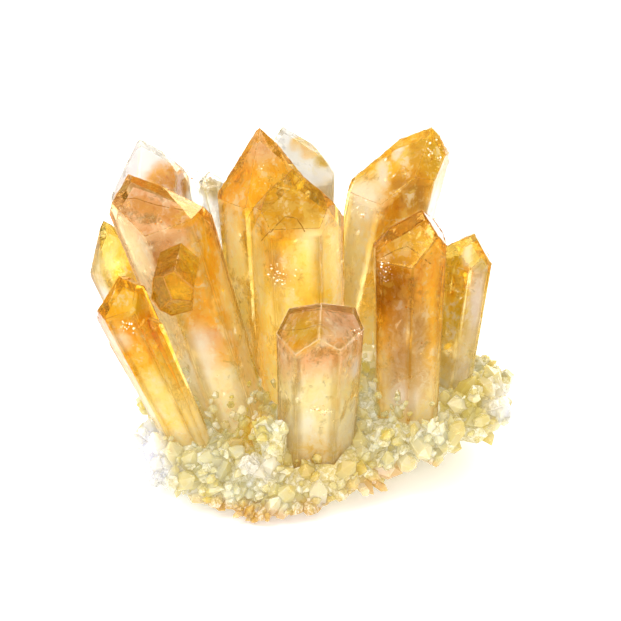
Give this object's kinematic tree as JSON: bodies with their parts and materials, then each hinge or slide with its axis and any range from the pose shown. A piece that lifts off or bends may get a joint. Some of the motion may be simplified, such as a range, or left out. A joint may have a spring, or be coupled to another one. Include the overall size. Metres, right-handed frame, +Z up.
{
  "type": "citrine cluster",
  "caption": "Citrine cluster: tall golden quartz points leaning out of a milky druse of small crystals, cut flat underneath to stand on a shelf.",
  "frame": {"origin": "centre of the flat cut underside of the druse, level with the surface it rests on", "axes": "+Z up, the way the tall points stand; +X along the cluster's long side, to the right seen from its front; +Y to the back"},
  "size_m": [0.0857, 0.0696, 0.0692],
  "materials": {
    "amber_quartz": "clear amber quartz with smooth bright faces",
    "golden_quartz": "clear golden yellow quartz with smooth bright faces",
    "rosy_quartz": "clear quartz, orange with pinkish beige faces",
    "pale_quartz": "nearly colourless quartz with orange clouds inside",
    "milky_druse": "translucent milky crust of small crystals, white to yellow"
  },
  "bodies": {
    "root": {"centre_crystals": "amber_quartz", "left_crystals": "rosy_quartz", "back_left_crystal": "pale_quartz", "back_small_crystals": "pale_quartz", "back_centre_crystal": "pale_quartz", "right_back_crystal": "amber_quartz", "right_front_crystal": "amber_quartz", "far_right_crystal": "golden_quartz", "front_crystal": "rosy_quartz", "far_left_crystal": "golden_quartz", "lower_left_crystals": "amber_quartz", "rear_left_crystal": "golden_quartz", "rear_centre_crystal": "golden_quartz", "rear_right_crystal": "golden_quartz", "rear_far_left_crystal": "golden_quartz", "druse_base": "milky_druse"}
  },
  "joints": []
}
